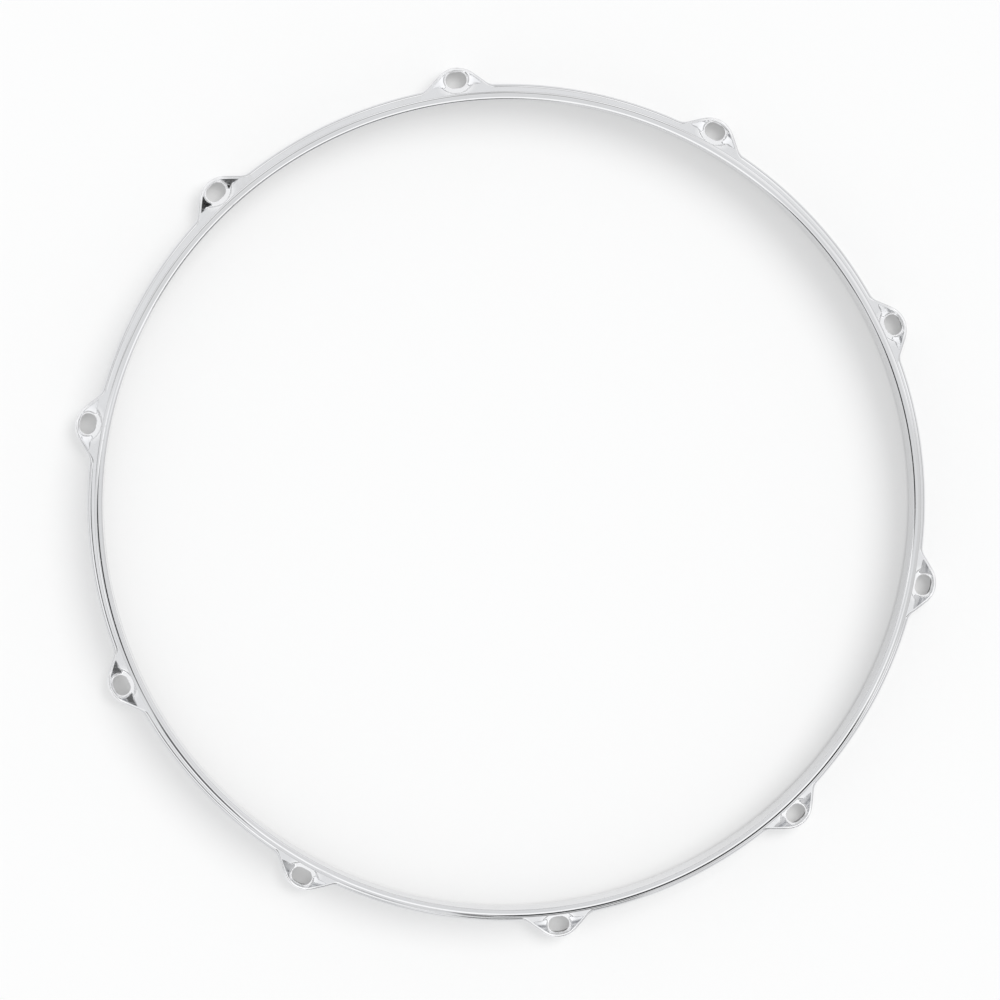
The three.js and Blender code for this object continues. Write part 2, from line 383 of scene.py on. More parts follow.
def end_shape(tree, shape, material):
    """Ends a tree: its instances are made real, and the material is set."""
    real = made(tree, "GeometryNodeRealizeInstances", Geometry=shape)
    painted = made(tree, "GeometryNodeSetMaterial", Geometry=real, Material=material)
    add(tree, "NodeGroupOutput", i0=painted)


# %% The tree that sweeps a section


def make_sweep_tree():
    tree, given = new_tree("Sweep a section round the ring", "Geometry", [
        ("Section", "Geometry"), ("Ring Radius", "Float", 0.1),
        ("From Angle", "Float", 0.0), ("To Angle", "Float", 1.0),
        ("Stations", "Int", 60), ("End Station", "Float", 0.001),
        ("Full Ring", "Bool", False), ("Material", "Material"),
    ], [("Skin", "Geometry")])
    start, end, close = given["From Angle"], given["To Angle"], given["End Station"]
    last = maths(tree, "SUBTRACT", given["Stations"], 1)
    line = made(tree, "GeometryNodeMeshLine", Count=given["Stations"])
    index = made(tree, "GeometryNodeInputIndex")
    inner_steps = maths(tree, "SUBTRACT", last, 2)
    step = maths(tree, "DIVIDE", maths(tree, "SUBTRACT", index, 1), inner_steps)
    share = made(tree, "ShaderNodeClamp", i0=step)
    past_first = maths(tree, "MINIMUM", index, 1)
    past_last = maths(tree, "MAXIMUM", maths(tree, "ADD", maths(tree, "SUBTRACT", index, last), 1), 0)
    ends = maths(tree, "MULTIPLY", maths(tree, "ADD", past_first, past_last), close)
    margin = maths(tree, "MULTIPLY", close, 2)
    reach = maths(tree, "SUBTRACT", maths(tree, "SUBTRACT", end, start), margin)
    angle = maths(tree, "ADD", maths(tree, "MULTIPLY_ADD", reach, share, start), ends)
    place = made(
        tree, "ShaderNodeCombineXYZ",
        X=maths(tree, "MULTIPLY", maths(tree, "COSINE", angle), given["Ring Radius"]),
        Y=maths(tree, "MULTIPLY", maths(tree, "SINE", angle), given["Ring Radius"]),
    )
    moved = made(tree, "GeometryNodeSetPosition", Geometry=line, Position=place)
    part = made(tree, "GeometryNodeMeshToCurve", Mesh=moved)
    whole = made(
        tree, "GeometryNodeCurvePrimitiveCircle",
        Resolution=given["Stations"], Radius=given["Ring Radius"],
    )
    path = made(
        tree, "GeometryNodeSwitch", {"input_type": "GEOMETRY"},
        Switch=given["Full Ring"], i1=part, i2=whole,
    )
    upright = made(tree, "GeometryNodeSetCurveNormal", {"mode": "Z_UP"}, Curve=path)
    section = made(tree, "GeometryNodeMeshToCurve", Mesh=given["Section"])
    swept = made(
        tree, "GeometryNodeCurveToMesh", Curve=upright, Profile_Curve=section, Fill_Caps=True
    )
    smooth = made(tree, "GeometryNodeSetShadeSmooth", Geometry=swept, Shade_Smooth=True)
    end_shape(tree, smooth, given["Material"])
    return tree


sweep_tree = make_sweep_tree()
print("nodes in the sweep tree:", len(sweep_tree.nodes))

# %% [markdown]
# A tree's result becomes a plain mesh here. The modifier's inputs are set by each socket's
# identifier before the object is first evaluated, and the modifier is gone afterwards.

# %% Turning a tree's result into a finished piece
SHARP = math.radians(60)
DOUBLES = 0.0005 * MM  # points this close are one


def put_in_scene(name, data):
    """An object in the scene that shows a mesh, a camera or a lamp."""
    thing = bpy.data.objects.new(name, data)
    bpy.context.scene.collection.objects.link(thing)
    return thing


def run_tree(name, mesh, tree, **values):
    """An object with the plain mesh that a tree makes from a mesh and its named inputs."""
    piece = put_in_scene(name, mesh)
    modifier = piece.modifiers.new("shape", "NODES")
    modifier.node_group = tree
    for socket in tree.interface.items_tree:
        key = socket.name.replace(" ", "_")
        if socket.in_out == "INPUT" and key in values:
            modifier[socket.identifier] = values[key]
    depsgraph = bpy.context.evaluated_depsgraph_get()
    plain = bpy.data.meshes.new_from_object(piece.evaluated_get(depsgraph))
    piece.modifiers.remove(modifier)
    piece.data = plain
    plain.name = name
    return piece


def close_up(mesh):
    """Merges doubles, turns faces outwards, marks square corners sharp and counts open edges."""
    work = bmesh.new()
    work.from_mesh(mesh)
    bmesh.ops.remove_doubles(work, verts=work.verts, dist=DOUBLES)
    bmesh.ops.recalc_face_normals(work, faces=work.faces)
    for face in work.faces:
        face.smooth = True
    for edge in work.edges:
        edge.smooth = len(edge.link_faces) == 2 and edge.calc_face_angle() < SHARP
    open_edges = sum(len(edge.link_faces) != 2 for edge in work.edges)
    volume = work.calc_volume()
    work.to_mesh(mesh)
    work.free()
    return open_edges, volume


def section_mesh(name, points, mask=None):
    """A closed line through a section's points. The sweep lays X outwards and Y downwards."""
    mesh = bpy.data.meshes.new(name)
    count = len(points)
    edges = [(i, (i + 1) % count) for i in range(count)]
    mesh.from_pydata([(r - WALL_INSIDE, -z, 0) for r, z in points], edges, [])
    inside = mesh.attributes.new("inside", "FLOAT", "POINT")
    inside.data.foreach_set("value", mask or [0.0] * count)
    return mesh


# %% [markdown]
# ## Chrome
#
# Chrome plate is a mirror, so most of what it shows is its surroundings. What tells it
# from a perfect mirror is small: the strip is a little wavy from rolling, buffing leaves
# fine lines along the ring, hands leave faint haze, and a few hairlines cross it. Each of
# these is a shader node group, built once, and each kind of surface uses them with its own
# values. Patterns that run with the strip need the direction round the ring, which comes
# from the cosine and sine of that direction, because an angle would jump at its end.

# %% Helpers of the shader groups


def object_place(tree):
    """Where a point lies on its own object."""
    return add(tree, "ShaderNodeTexCoord").outputs["Object"]


def noise(tree, place, scale, **inputs):
    """A Noise Texture's value."""
    return made(tree, "ShaderNodeTexNoise", Vector=place, Scale=scale, **inputs)


def placed_group(tree, group, *values):
    """What a shader group gives in a material or another group."""
    return add(tree, "ShaderNodeGroup", {"node_tree": group}, **numbered(values)).outputs


# %% Group: directions of the hoop


def make_directions_group():
    group, _ = new_tree("Hoop directions", "Shader", [], [
        ("Round", "Vector"), ("Radius", "Float"), ("Height", "Float"),
    ])
    parts = add(group, "ShaderNodeSeparateXYZ", i0=object_place(group)).outputs
    flat = made(group, "ShaderNodeCombineXYZ", X=parts["X"], Y=parts["Y"])
    radius = vector_maths(group, "LENGTH", flat, output="Value")
    unit = vector_maths(group, "NORMALIZE", flat)
    add(group, "NodeGroupOutput", Round=unit, Radius=radius, Height=parts["Z"])
    return group


directions_group = make_directions_group()

# %% Group: buffing lines along the ring


def make_buffing_group():
    group, given = new_tree("Buffing lines", "Shader", [
        ("Lines per Metre", "Float", 3000.0), ("Runs", "Float", 12.0),
    ], [("Lines", "Float")])
    hoop = placed_group(group, directions_group)
    along = vector_maths(group, "MULTIPLY", hoop["Round"], given["Runs"])
    parts = add(group, "ShaderNodeSeparateXYZ", i0=along).outputs
    across = maths(group, "MULTIPLY", hoop["Radius"], given["Lines per Metre"])
    vector = made(group, "ShaderNodeCombineXYZ", X=parts["X"], Y=parts["Y"], Z=across)
    upwards = maths(group, "MULTIPLY", hoop["Height"], given["Lines per Metre"])
    lines = made(
        group, "ShaderNodeTexNoise", {"noise_dimensions": "4D"},
        Vector=vector, W=upwards, Scale=1.0, Detail=3.0, Roughness=0.6,
    )
    add(group, "NodeGroupOutput", Lines=lines)
    return group


buffing_group = make_buffing_group()

# %% Group: waves that rolling and pressing leave


def make_waves_group():
    group, given = new_tree("Waves of the sheet", "Shader", [
        ("Wave Length", "Float", 0.03), ("Peel Length", "Float", 0.002),
        ("Peel Share", "Float", 0.1),
    ], [("Height", "Float")])
    place = object_place(group)
    wave = noise(group, place, maths(group, "DIVIDE", 1.0, given["Wave Length"]), Detail=1.0)
    peel = noise(group, place, maths(group, "DIVIDE", 1.0, given["Peel Length"]), Detail=2.0)
    both = maths(group, "MULTIPLY_ADD", peel, given["Peel Share"], wave)
    add(group, "NodeGroupOutput", Height=both)
    return group


waves_group = make_waves_group()

# %% Group: haze from hands and cloths
HAZE_FADE = 0.15  # of the noise's value, to each side of a patch's edge
HAZE_GRAIN = 14.0  # how many times finer than the patches


def make_haze_group():
    group, given = new_tree("Haze", "Shader", [
        ("Patch Size", "Float", 0.03), ("Coverage", "Float", 0.4),
    ], [("Mask", "Float")])
    place = object_place(group)
    scale = maths(group, "DIVIDE", 1.0, given["Patch Size"])
    patches = noise(group, place, scale, Detail=4.0, Distortion=0.6)
    fine = noise(group, place, maths(group, "MULTIPLY", scale, HAZE_GRAIN))
    edge = maths(group, "SUBTRACT", 1.0, given["Coverage"])
    limits = [maths(group, operation, edge, HAZE_FADE) for operation in ("SUBTRACT", "ADD")]
    soft = eased(group, patches, *limits)
    add(group, "NodeGroupOutput", Mask=maths(group, "MULTIPLY", soft, fine))
    return group


haze_group = make_haze_group()

# %% Group: hairline scratches
HAIR_TURNS = (20, 75, 140)  # three ways that scratches run, in degrees
HAIR_TILT = (0.4, 0.2)  # in radians, so that no scratch runs level
HAIR_STRETCH = (0.02, 1, 0.02)  # draws the noise out into straight lines
HAIR_LEVEL = 0.62  # the value of the noise along which a scratch runs
BREAK_SCALE = 0.7  # of the scratches' own noise
BREAK_LIMITS = (0.5, 0.6)  # a scratch is gone below and full above


def make_hairlines_group():
    group, given = new_tree("Hairlines", "Shader", [
        ("Spacing", "Float", 0.01), ("Width", "Float", 0.01),
    ], [("Mask", "Float")])
    place = object_place(group)
    scale = maths(group, "DIVIDE", 1.0, given["Spacing"])
    break_scale = maths(group, "MULTIPLY", scale, BREAK_SCALE)
    breaks = add(group, "ShaderNodeTexNoise", Vector=place, Scale=break_scale).outputs["Color"]
    kept = add(group, "ShaderNodeSeparateColor", i0=breaks).outputs
    mask = 0.0
    for turn, keep in zip(HAIR_TURNS, kept):
        turned = made(
            group, "ShaderNodeMapping",
            Vector=place, Rotation=(*HAIR_TILT, math.radians(turn)), Scale=HAIR_STRETCH,
        )
        lines = noise(group, turned, scale, Detail=0.0)
        off = maths(group, "ABSOLUTE", maths(group, "SUBTRACT", lines, HAIR_LEVEL))
        line = eased(group, off, given["Width"], 0.0)
        stretch = eased(group, keep, *BREAK_LIMITS)
        mask = maths(group, "MAXIMUM", mask, maths(group, "MULTIPLY", line, stretch))
    add(group, "NodeGroupOutput", Mask=mask)
    return group


hairlines_group = make_hairlines_group()
print("shader groups:", [g.name for g in bpy.data.node_groups if g.bl_idname == "ShaderNodeTree"])

# %% [markdown]
# The chrome itself is a metallic Principled shader. Its roughness and its bump add up what
# the groups give. The `inside` value that each skin carries marks the hollow that faces
# the drum head. No buffing wheel reaches in there, so the plate is satin there, and its
# colour is darkened as painted shade. A second value marks the metal round each hole: on
# top it lifts the plate's colour as a painted highlight, and on the underside it deepens
# the painted shade under the seat.

# %% Colours of the plate
SATIN_ROUGHNESS = 0.26
BLUISH = (0.97, 0.978, 1.0)
NEUTRAL = (1.0, 1.003, 1.01)
DULL = (0.87, 0.87, 0.86)
HAZE_SHARE = 0.4  # how much of the dull plate full haze gives
# The hollow's dark colour below is painted shade, for the hollow under the shoulder and the ears.
HOLLOW_SHADE = (0.18, 0.18, 0.175)
HOLLOW_SHADE_SHARE = 0.5  # how much of the dark plate the hollow has away from the holes
# The brighter colour round each hole, below, is a painted highlight.
HOLE_HIGHLIGHT = (0.95, 0.952, 0.96)


def mix_colour(tree, share, one, two):
    node = add(tree, "ShaderNodeMix", {"data_type": "RGBA"}, i0=share)
    for number, colour in ((6, one), (7, two)):
        if isinstance(colour, bpy.types.NodeSocket):
            tree.links.new(colour, node.inputs[number])
        else:
            node.inputs[number].default_value = (*colour, 1)
    return node.outputs[2]


def tinted(brightness, tint):
    return tuple(brightness * part for part in tint)


# %% The chrome material


def empty_nodes(owner):
    """The node tree of a material or a world, emptied."""
    owner.use_nodes = True
    owner.node_tree.nodes.clear()
    return owner.node_tree


def make_chrome(name, plate, gloss, lines, waves, haze, hairlines):
    """Chrome plate of a brightness. Gloss is (roughness, what lines add, what haze adds).

    Lines, waves, haze and hairlines hold the inputs of their groups, and a bump's height.
    """
    material = bpy.data.materials.new(name)
    tree = empty_nodes(material)
    buffed = placed_group(tree, buffing_group, *lines[:2])[0]
    rolled = placed_group(tree, waves_group, *waves[:3])[0]
    hazy = placed_group(tree, haze_group, *haze)[0]
    hair = placed_group(tree, hairlines_group, *hairlines[:2])[0]
    hole_light_and_shade = add(tree, "ShaderNodeAttribute", {"attribute_name": "hole_light_and_shade"}).outputs["Fac"]
    inside = add(tree, "ShaderNodeAttribute", {"attribute_name": "inside"}).outputs["Fac"]
    # In the hollow the plate turns satin and dark. The dark is painted shade: full round the holes and
    # half elsewhere.
    share = maths(tree, "MULTIPLY_ADD", hole_light_and_shade, 1 - HOLLOW_SHADE_SHARE, HOLLOW_SHADE_SHARE)
    hollow = maths(tree, "MULTIPLY", inside, share)
    rough = maths(tree, "MULTIPLY_ADD", buffed, gloss[1], gloss[0])
    rough = maths(tree, "MULTIPLY_ADD", hazy, gloss[2], rough)
    rough = maths(tree, "MULTIPLY_ADD", hair, gloss[2], rough)
    rough = maths(tree, "MULTIPLY_ADD", hollow, SATIN_ROUGHNESS, rough)
    bright = mix_colour(tree, buffed, tinted(plate, BLUISH), tinted(plate, NEUTRAL))
    dulled = mix_colour(tree, maths(tree, "MULTIPLY", hazy, HAZE_SHARE), bright, tinted(plate, DULL))
    # Round each hole the colour is lifted: a painted highlight.
    with_hole_highlight = mix_colour(tree, hole_light_and_shade, dulled, HOLE_HIGHLIGHT)
    colour = mix_colour(tree, hollow, with_hole_highlight, HOLLOW_SHADE)
    wave_bump = made(tree, "ShaderNodeBump", Distance=waves[3], Height=rolled)
    line_bump = made(tree, "ShaderNodeBump", Distance=lines[2], Height=buffed, Normal=wave_bump)
    normal = made(
        tree, "ShaderNodeBump", {"invert": True}, Distance=hairlines[2], Height=hair, Normal=line_bump
    )
    shader = made(
        tree, "ShaderNodeBsdfPrincipled",
        Base_Color=colour, Roughness=rough, Normal=normal, Metallic=1.0,
    )
    add(tree, "ShaderNodeOutputMaterial", Surface=shader)
    return material


# %% Chrome of the rim, the wall, the flange and the ears
# One chrome, but the rim and the wall get a darker plate than the flange and the ears: painted shade on
# them.
rim_chrome = make_chrome(
    "chrome_rolled_rim",
    plate=0.75,
    gloss=(0.03, 0.05, 0.12),
    lines=(4000.0, 9.0, 0.0008 * MM),
    waves=(22 * MM, 2.5 * MM, 0.04, 0.02 * MM),
    haze=(28 * MM, 0.38),
    hairlines=(9 * MM, 0.006, 0.002 * MM),
)
wall_chrome = make_chrome(
    "chrome_wall",
    plate=0.76,
    gloss=(0.035, 0.06, 0.12),
    lines=(2500.0, 12.0, 0.001 * MM),
    waves=(35 * MM, 3 * MM, 0.04, 0.04 * MM),
    haze=(40 * MM, 0.42),
    hairlines=(12 * MM, 0.006, 0.002 * MM),
)
pressed_chrome = make_chrome(
    "chrome_pressed_flange",
    plate=0.81,
    gloss=(0.04, 0.05, 0.12),
    lines=(3000.0, 10.0, 0.0008 * MM),
    waves=(26 * MM, 1.6 * MM, 0.05, 0.03 * MM),
    haze=(24 * MM, 0.4),
    hairlines=(8 * MM, 0.006, 0.002 * MM),
)
ear_chrome = make_chrome(
    "chrome_pressed_ears",
    plate=0.81,
    gloss=(0.045, 0.03, 0.14),
    lines=(2500.0, 30.0, 0.0006 * MM),
    waves=(9 * MM, 1.2 * MM, 0.06, 0.012 * MM),
    haze=(16 * MM, 0.42),
    hairlines=(6 * MM, 0.007, 0.002 * MM),
)
print("materials:", [m.name for m in bpy.data.materials])

# %% [markdown]
# ## The rim, the wall and the plain flange
#
# The rim and the wall go all the way round. Each stretch of flange runs from the root of
# one ear to the root of the next. The skins meet face to face where the solids keep their
# small gaps, so the strip looks whole.

# %% Make the skins of the strip
RING_STATIONS = 720
SPAN_STATIONS = 62
END_STATION = math.radians(0.02)


def sweep(name, points, mask=None, **values):
    mesh = section_mesh(name + "_section", points, mask)
    piece = run_tree(name, mesh, sweep_tree, Ring_Radius=WALL_INSIDE, **values)
    open_edges, volume = close_up(piece.data)
    faces = len(piece.data.polygons)
    print(name, faces, "faces, open edges:", open_edges, "cm3:", round(1e6 * volume, 2))
    return piece


rim_skin = sweep(
    "rim_skin", rim_section(), Stations=RING_STATIONS, Full_Ring=True, Material=rim_chrome
)
wall_skin = sweep(
    "wall_skin", wall_section(), Stations=RING_STATIONS, Full_Ring=True, Material=wall_chrome
)

span_skins = []
for number in range(EAR_COUNT):
    skin = sweep(
        f"flange_skin_{number + 1:02d}",
        *flange_section(EAR_PITCH / 2),
        Stations=SPAN_STATIONS,
        End_Station=END_STATION,
        From_Angle=number * EAR_PITCH + ROOT_ANGLE,
        To_Angle=(number + 1) * EAR_PITCH - ROOT_ANGLE,
        Material=pressed_chrome,
    )
    span_skins.append(skin)

# %% [markdown]
# ## The seat of an ear
#
# Each ear is pressed into a sunk seat with an oval hole, so that the washer and the head
# of the tension rod sit below the rim of the ear. The seat is worked out by direction
# from the middle of the hole: how far out the hole's edge, the flat floor and the seat's
# upper edge lie. Two pointed wings fall from the lip towards the pocket round the hole. They
# are flat, so in the chrome each of them is one even patch of light or dark.

# %% Edges of the seat, by direction
SEAT_DEPTH = 2.3 * MM
SEAT = SHOULDER - SEAT_DEPTH
LIP_WIDTH = 1.3 * MM
SEAT_WALL_REACH = 6.1 * MM  # from the middle of the hole towards the wall
SEAT_ARC_RADIUS = 9.3 * MM
SEAT_ARC_SHIFT = SEAT_ARC_RADIUS - SEAT_WALL_REACH
WING_SHIFT = 2.8 * MM  # how far the tips of the wings lie back from the middle of the hole
FLOOR_RADIUS = 5.2 * MM
SEAT_DRAFT = 0.35 * MM  # width that a pressed side takes up
WING_SLOPE = math.tan(math.radians(27))
LEAST_WING = 0.15 * MM  # least width of a wing beside the floor
HOLE_LENGTH = 9.4 * MM
HOLE_WIDTH = 7.2 * MM
LIP_RADIUS = NOSE_RADIUS - LIP_WIDTH
LIP_FLANK = NOSE_SHIFT * math.cos(FLANK_ANGLE) + LIP_RADIUS  # from the hole to the lip's flank
TIP_FROM_FLANK = WING_SHIFT * math.cos(FLANK_ANGLE) + LIP_FLANK
WING_TIP = math.atan2(TIP_FROM_FLANK / math.sin(FLANK_ANGLE), -WING_SHIFT)


def lip_edge(direction):
    turn = abs(direction)
    if turn < flank_start(NOSE_SHIFT, LIP_RADIUS):
        return reach_of(turn, NOSE_SHIFT, LIP_RADIUS)
    return LIP_FLANK / math.cos(turn - FLANK_ANGLE)


def seat_edge(direction):
    if abs(direction) <= WING_TIP:
        return lip_edge(direction)
    return max(reach_of(direction, SEAT_ARC_SHIFT, SEAT_ARC_RADIUS), -WING_SHIFT / math.cos(direction))


def floor_edge(direction):
    return min(FLOOR_RADIUS, seat_edge(direction) - SEAT_DRAFT - LEAST_WING)


def wing_height(direction, reach):
    """Height of the flat wing that falls from the lip, and of the floor where it has ended."""
    slant = math.cos(max(abs(direction) - FLANK_ANGLE, 0.0))
    if abs(direction) < WING_TIP:
        from_lip = (lip_edge(direction) - reach) * slant
    else:
        from_lip = LIP_FLANK - reach * slant
    return max(SEAT, SHOULDER - WING_SLOPE * from_lip)


def seat_corners(direction):
    """The corners of the seat along a direction: floor, pocket edge, wing's end and upper edge."""
    floor, edge = floor_edge(direction), seat_edge(direction)
    pocket = floor + SEAT_DRAFT
    wing_end = max(edge - SEAT_DRAFT, (pocket + edge) / 2)
    return [
        (floor, SEAT),
        (pocket, wing_height(direction, pocket)),
        (wing_end, wing_height(direction, wing_end)),
        (edge, SHOULDER),
    ]


def hole_edge(direction):
    """Distance to the oval hole: two half circles joined by straight sides."""
    radius = HOLE_WIDTH / 2
    side = (HOLE_LENGTH - HOLE_WIDTH) / 2
    across = abs(math.cos(direction))
    along = abs(math.sin(direction))
    if along * radius <= side * across:
        return radius / across
    return side * along + math.sqrt(radius**2 - (side * across) ** 2)


print("seat edge outwards, sideways, inwards in mm:",
      [round(seat_edge(math.radians(a)) / MM, 2) for a in (0, 90, 180)])

# %% [markdown]
# From above, each direction gives one line of points: over the hole's rounded edge, across
# the floor, up the pocket's side and the wing, and out over the flat. From below, the strip
# follows at its own thickness. Pressing leaves soft corners, so each corner is rounded as far
# as the stretches beside it allow.

# %% Lines of points from the hole outwards
HOLE_ROUND = 0.2 * MM
CORNER_ROUND = 0.45 * MM
CORNER_SHARE = 0.42  # most of a stretch that a rounded corner may take
CORNER_STEPS = 6
FLAT_STEPS_OUT = 4
UNDER_SHIFT = 1.3 * MM  # how much further out the pressed sides lie on the underside
LEAST_STEP = 0.1 * MM  # between its corners, where they crowd at the bend


def rounded(corner, back, ahead):
    """A soft corner from a point before it to a point after it."""
    corner = np.array(corner)
    before, after = corner + back, corner + ahead
    shares = np.linspace(0, 1, CORNER_STEPS + 1)
    return [tuple((1 - s) ** 2 * before + 2 * s * (1 - s) * corner + s**2 * after) for s in shares]


def softened(corners):
    """A line along corners, from the first to the last, with each one between them rounded."""
    line = []
    last = corners[0]
    for one, corner, two in zip(corners, corners[1:], corners[2:]):
        back, ahead = np.subtract(one, corner), np.subtract(two, corner)
        lengths = np.linalg.norm(back), np.linalg.norm(ahead)
        size = min(CORNER_ROUND, CORNER_SHARE * min(lengths))
        bend = rounded(corner, size / lengths[0] * back, size / lengths[1] * ahead)
        line += [*straight(last, bend[0], 2), *bend]
        last = bend[-1]
    return [*line, *straight(last, corners[-1], FLAT_STEPS_OUT), corners[-1]]


def line_above(direction, bound):
    """Distance and height of the points along a direction, out to the bend of the skirt or wall."""
    start = (hole_edge(direction) + HOLE_ROUND, SEAT - HOLE_ROUND)
    lip = arc(start, HOLE_ROUND, 180, 90, steps=4)
    return [*lip, *softened([lip[-1], *seat_corners(direction), (bound, SHOULDER)])]


def height_below(direction, reach):
    """Height of the underside at a distance from the middle of the hole."""
    reaches, heights = zip(*seat_corners(direction))
    return float(np.interp(reach - UNDER_SHIFT, reaches, heights)) - SHEET


def line_below(direction, bound):
    start = hole_edge(direction) + HOLE_ROUND / 2
    lip = arc((start, SEAT - SHEET + HOLE_ROUND / 2), HOLE_ROUND / 2, 180, 270, steps=2)
    reaches = [reach + UNDER_SHIFT for reach, _ in seat_corners(direction)]
    step = min(LEAST_STEP, (bound - start) / (len(reaches) + 1))
    limits = [bound - step * (len(reaches) - i) for i in range(len(reaches))]
    reaches = [*[min(reach, limit) for reach, limit in zip(reaches, limits)], bound]
    return [*lip, *softened([lip[-1], *[(reach, height_below(direction, reach)) for reach in reaches]])]


# %% [markdown]
# ## Building one ear
#
# An ear's skin is made of patches. Sections across the strip, a tenth of a degree apart,
# make the bends and the skirt. Around the hole, where sections would cut the seat
# awkwardly, lines that run out from the hole fill the gap. Both use the same points where
# they meet, so merging doubles closes the skin into one watertight mesh.

# %% Places on an ear
SEAT_HALF = math.radians(4.2)  # the part of the ear that the lines from the hole fill
SEAT_STATIONS = 84
ROOT_STATIONS = 8
hole_middle = np.array([HOLE_CIRCLE, 0.0])


def direction_of(point):
    """Direction and distance of a point from the middle of the hole."""
    away = np.array(point[:2]) - hole_middle
    return math.atan2(away[1], away[0]), float(np.linalg.norm(away))


def under_height(angle):
    """Height of the underside where the bend inside the skirt begins."""
    if abs(angle) > SEAT_HALF + END_STATION:
        return SHOULDER_UNDER
    _, inner = bends_at(angle)
    reach = outline(angle, SHEET + inner)
    return height_below(*direction_of(at(angle, [(reach, 0)])[0]))


def at(angle, points):
    """Points of a section, given as distance and height, placed at an angle round the ring."""
    return [(r * math.cos(angle), r * math.sin(angle), z) for r, z in points]


def grid_faces(rows):
    """Faces between neighbouring rows of equal length, as lists of points."""
    pairs = zip(rows, rows[1:])
    return [face for one, two in pairs for face in zip(one, one[1:], two[1:], two)]


def station_angles():
    middle = np.linspace(-SEAT_HALF, SEAT_HALF, SEAT_STATIONS + 1)
    root = np.linspace(SEAT_HALF, ROOT_ANGLE - END_STATION, ROOT_STATIONS + 1)[1:]
    side = [*root, ROOT_ANGLE]
    return [-a for a in reversed(side)], list(middle), side


# %% Patches of the ear
HOLE_SHARES = (0.1, 0.5, 0.9)  # heights of the points in the hole's side


def seat_patch(middle, above):
    """The faces that run out from the hole, seen from above or on the underside."""

    def outer_reach(angle):
        outer, inner = bends_at(angle)
        return outline(angle, outer if above else SHEET + inner)

    wall_reach = WALL_OUTSIDE + WALL_BEND if above else WALL_INSIDE + WALL_BEND + SHEET
    first, last = middle[0], middle[-1]
    side = straight((outer_reach(last), 0), (wall_reach, 0), FLAT_STEPS)
    border = [at(a, [(outer_reach(a), 0)])[0] for a in middle]
    border += at(last, side)
    border += [at(a, [(wall_reach, 0)])[0] for a in reversed(middle)]
    border += at(first, reversed(side))
    rows = []
    for point in [*border, border[0]]:
        direction, bound = direction_of(point)
        line = line_above(direction, bound) if above else line_below(direction, bound)
        x, y = math.cos(direction), math.sin(direction)
        rows.append([(HOLE_CIRCLE + r * x, r * y, z) for r, z in line])
    return rows


def build_ear():
    """Every face of one ear as its corners, with a mark for the hollow side."""
    left, middle, right = station_angles()
    stations = [*left, *middle, *right]
    foot, under = wall_foot(), wall_under()
    inside = {a: skirt_inside(a, under_height(a)) for a in stations}
    patches = [
        (False, [at(a, foot) for a in stations]),
        (False, [at(a, skirt_outside(a)) for a in stations]),
        (True, [at(a, inside[a]) for a in stations]),
        (True, [at(a, under[:-OPEN_POINTS]) for a in stations]),
        (False, [at(a, under[-OPEN_POINTS - 1:]) for a in stations]),
        (False, [at(a, joined(under[-1:], foot[:1])) for a in stations]),
        (False, [at(a, joined(skirt_outside(a)[-1:], inside[a][:1])) for a in stations]),
    ]
    for wing in ([*left, middle[0]], [middle[-1], *right]):
        flats = [at(a, joined(foot[-1:], skirt_outside(a)[:1], steps=FLAT_STEPS)) for a in wing]
        ceilings = [at(a, joined(inside[a][-1:], under[:1], steps=FLAT_STEPS)) for a in wing]
        patches += [(False, flats), (True, ceilings)]
    top, bottom = seat_patch(middle, True), seat_patch(middle, False)
    hole = []
    for upper, lower in zip(top, bottom):
        between = [tuple(lower[0] + s * np.subtract(upper[0], lower[0])) for s in HOLE_SHARES]
        hole.append([lower[0], *between, upper[0]])
    patches += [(False, top), (True, bottom), (False, hole)]
    faces = [(face, hollow) for hollow, rows in patches for face in grid_faces(rows)]
    return faces + [(at(a, flange_section(a)[0]), False) for a in (stations[0], stations[-1])]


# %% Merge the patches into one closed mesh
# A value that fades out from the middle of each hole. The chrome turns it into a painted highlight on
# top and deeper painted shade below.
HOLE_LIGHT_CORE = 6.4 * MM  # distances from the middle of the hole
HOLE_LIGHT_EDGE = 9.4 * MM


def mesh_from_faces(name, faces):
    work = bmesh.new()
    inside = work.faces.layers.float.new("inside")
    hole_light_and_shade = work.verts.layers.float.new("hole_light_and_shade")
    for points, hollow in faces:
        corners = [work.verts.new(p) for p in points]
        for corner in corners:
            away = direction_of(corner.co)[1]
            corner[hole_light_and_shade] = smooth_step((HOLE_LIGHT_EDGE - away) / (HOLE_LIGHT_EDGE - HOLE_LIGHT_CORE))
        work.faces.new(corners)[inside] = float(hollow)
    mesh = bpy.data.meshes.new(name)
    work.to_mesh(mesh)
    work.free()
    return mesh


ear_mesh = mesh_from_faces("ear", build_ear())
ear_open, ear_volume = close_up(ear_mesh)
print("ear:", len(ear_mesh.polygons), "faces, open edges:", ear_open, "cm3:", round(1e6 * ear_volume, 3))

# %% [markdown]
# ## Ten ears from one
#
# A small tree sets one copy of the ear round the ring. Instances would not reach the
# exported model, so the tree makes the copy real, and each run of it gives one ear as a
# piece of its own.

# %% The tree that sets a copy round the ring


